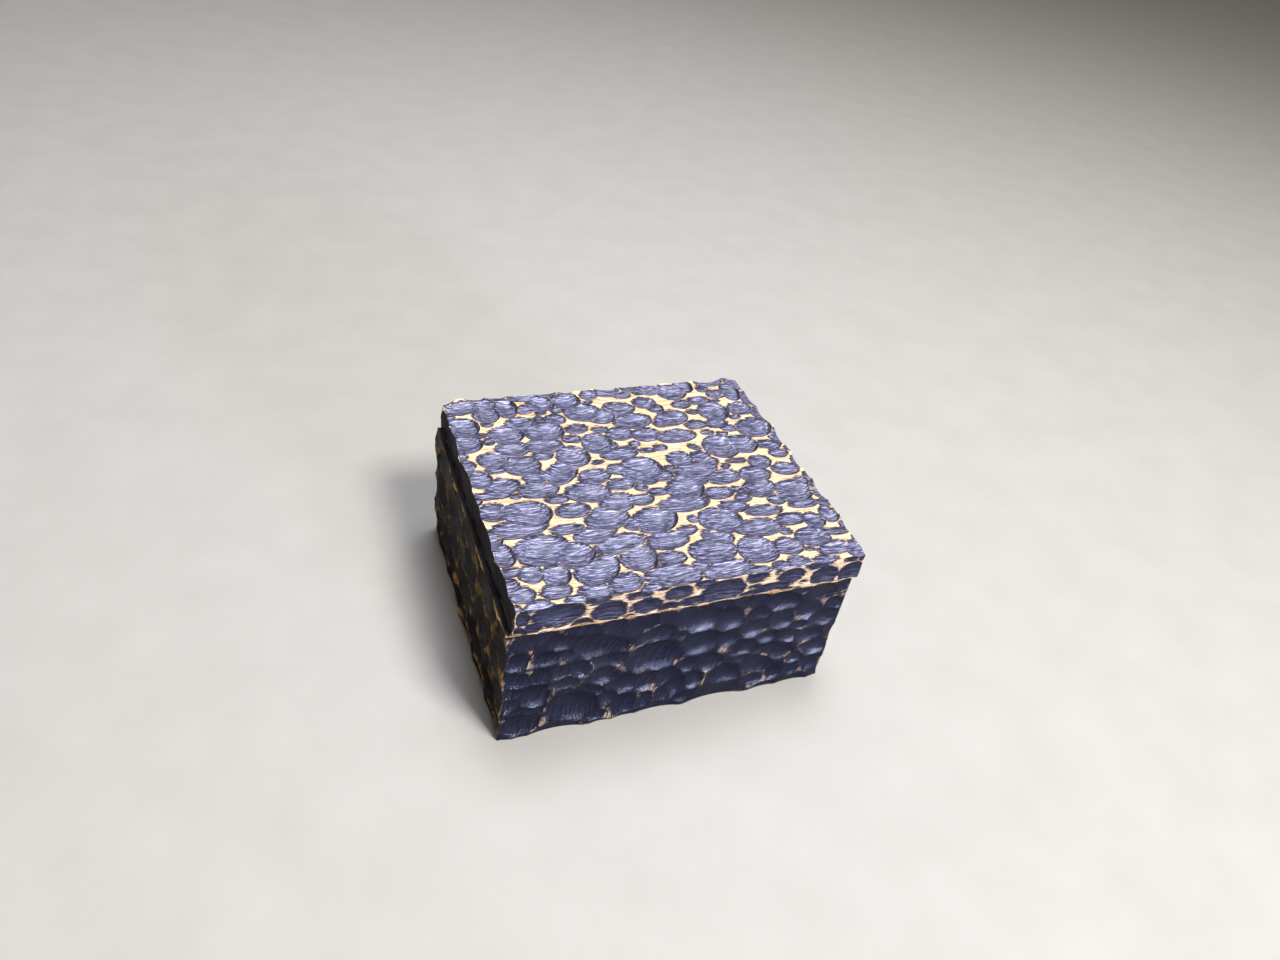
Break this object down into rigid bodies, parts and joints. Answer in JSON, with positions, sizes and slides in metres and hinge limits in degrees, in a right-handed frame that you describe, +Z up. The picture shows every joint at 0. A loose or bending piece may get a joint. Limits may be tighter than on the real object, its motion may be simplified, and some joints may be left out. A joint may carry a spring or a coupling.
{
  "type": "wooden box",
  "caption": "Small square wooden box hollowed from a block, with a hinged slab lid and gouge-carved outside faces.",
  "frame": {"origin": "on the surface that the box stands on, under the middle of its whole outline", "axes": "+X to the right along the front, +Y to the back where the hinges are, +Z up"},
  "size_m": [0.116, 0.1034, 0.0575],
  "materials": {
    "carved_wood": "burnt dark in the cuts, sanded pale on the ridges, under a satin lacquer",
    "brass": "satin"
  },
  "bodies": {
    "box": {"box_body": "carved_wood", "hinge_left_body_leaf": "brass", "hinge_left_pin": "brass", "hinge_left_body_screw_1": "brass", "hinge_left_body_screw_2": "brass", "hinge_right_body_leaf": "brass", "hinge_right_pin": "brass", "hinge_right_body_screw_1": "brass", "hinge_right_body_screw_2": "brass"},
    "hinged_lid": {"lid": "carved_wood", "hinge_left_lid_leaf": "brass", "hinge_left_lid_screw_1": "brass", "hinge_left_lid_screw_2": "brass", "hinge_right_lid_leaf": "brass", "hinge_right_lid_screw_1": "brass", "hinge_right_lid_screw_2": "brass"}
  },
  "joints": [
    {"name": "lid_hinge", "type": "hinge", "parent": "box", "child": "hinged_lid", "pos_m": [0, 0.0499, 0.04715], "axis": [-1, 0, 0], "range_deg": [0, 180]}
  ]
}
